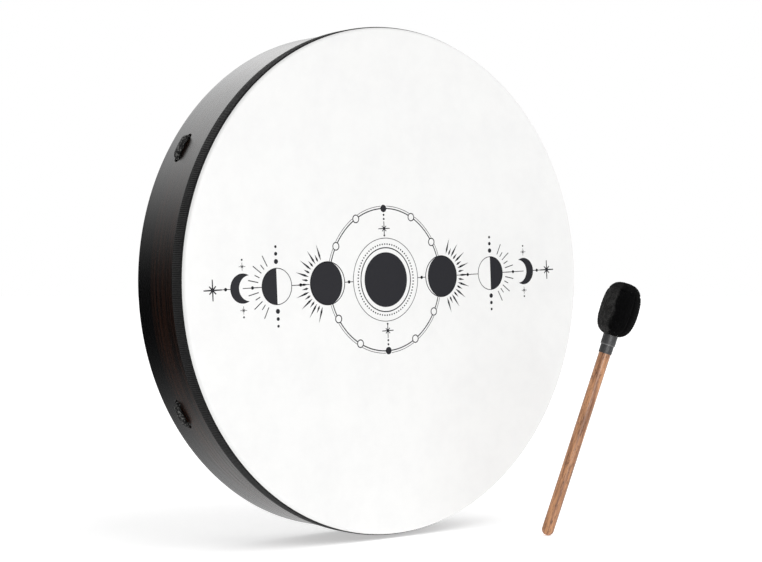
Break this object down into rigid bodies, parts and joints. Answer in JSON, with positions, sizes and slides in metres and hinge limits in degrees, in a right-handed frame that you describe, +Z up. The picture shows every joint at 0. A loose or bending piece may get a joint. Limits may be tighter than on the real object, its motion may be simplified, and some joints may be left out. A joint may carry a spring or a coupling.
{
  "type": "frame drum",
  "caption": "Round frame drum: a white film head on a dark bent-wood shell with trim ribbon, a corded ring grip at the back, and a soft-headed beater.",
  "frame": {"origin": "middle of the head's playing face", "axes": "-Y out of the playing face towards the player's beater, +Y out of the open back, +Z up as the drum is held, +X to the right seen from the playing side"},
  "size_m": [0.5602, 0.255, 0.5666],
  "materials": {
    "stained_wood": "dark brown-black stain over wood veneer, satin",
    "stained_core": "stained edge grain, satin",
    "white_film": "white coated drum film, matt with a faint pearl, dark printed ornament",
    "black_ribbon": "black grosgrain ribbon, fine cross ribs",
    "black_cord": "black braided cord",
    "steel_rod": "plain welded steel ring, hidden under the cord",
    "warm_wood": "warm brown hardwood, thin satin lacquer",
    "gray_rubber": "dark gray shrink sleeve, matt",
    "cork": "pressed cork, hidden",
    "felt": "wool felt padding, hidden",
    "black_plush": "short black plush"
  },
  "bodies": {
    "drum": {"shell_outer_ply": "stained_wood", "shell_core_ply": "stained_core", "shell_inner_ply": "stained_wood", "head_film": "white_film", "head_skirt": "white_film", "trim_tape": "black_ribbon", "cord_stitch_1": "black_cord", "cord_stitch_2": "black_cord", "cord_stitch_3": "black_cord", "cord_stitch_4": "black_cord", "cord_stitch_5": "black_cord", "cord_stitch_6": "black_cord", "cord_strand_1_a": "black_cord", "cord_strand_1_b": "black_cord", "cord_strand_2_a": "black_cord", "cord_strand_2_b": "black_cord", "cord_strand_3_a": "black_cord", "cord_strand_3_b": "black_cord", "cord_strand_4_a": "black_cord", "cord_strand_4_b": "black_cord", "cord_strand_5_a": "black_cord", "cord_strand_5_b": "black_cord", "cord_strand_6_a": "black_cord", "cord_strand_6_b": "black_cord"},
    "grip": {"grip_ring": "steel_rod", "cord_wrap_1": "black_cord", "cord_wrap_2": "black_cord", "cord_wrap_3": "black_cord", "cord_wrap_4": "black_cord", "cord_wrap_5": "black_cord", "cord_wrap_6": "black_cord"},
    "beater": {"beater_stick": "warm_wood", "beater_lower_sleeve": "gray_rubber", "beater_upper_sleeve": "gray_rubber", "beater_core": "cork", "beater_padding": "felt", "beater_cover": "black_plush"}
  },
  "joints": [
    {"name": "grip_pull", "type": "slide", "parent": "drum", "child": "grip", "axis": [0, 1, 0], "range_m": [-0.008, 0.015], "stiffness_N_per_m": 900, "deforming": ["cord_strand_1_a", "cord_strand_1_b", "cord_strand_2_a", "cord_strand_2_b", "cord_strand_3_a", "cord_strand_3_b", "cord_strand_4_a", "cord_strand_4_b", "cord_strand_5_a", "cord_strand_5_b", "cord_strand_6_a", "cord_strand_6_b"]},
    {"name": "beater_lift", "type": "slide", "parent": "drum", "child": "beater", "axis": [0, 0, 1], "range_m": [0, 0.3]}
  ]
}
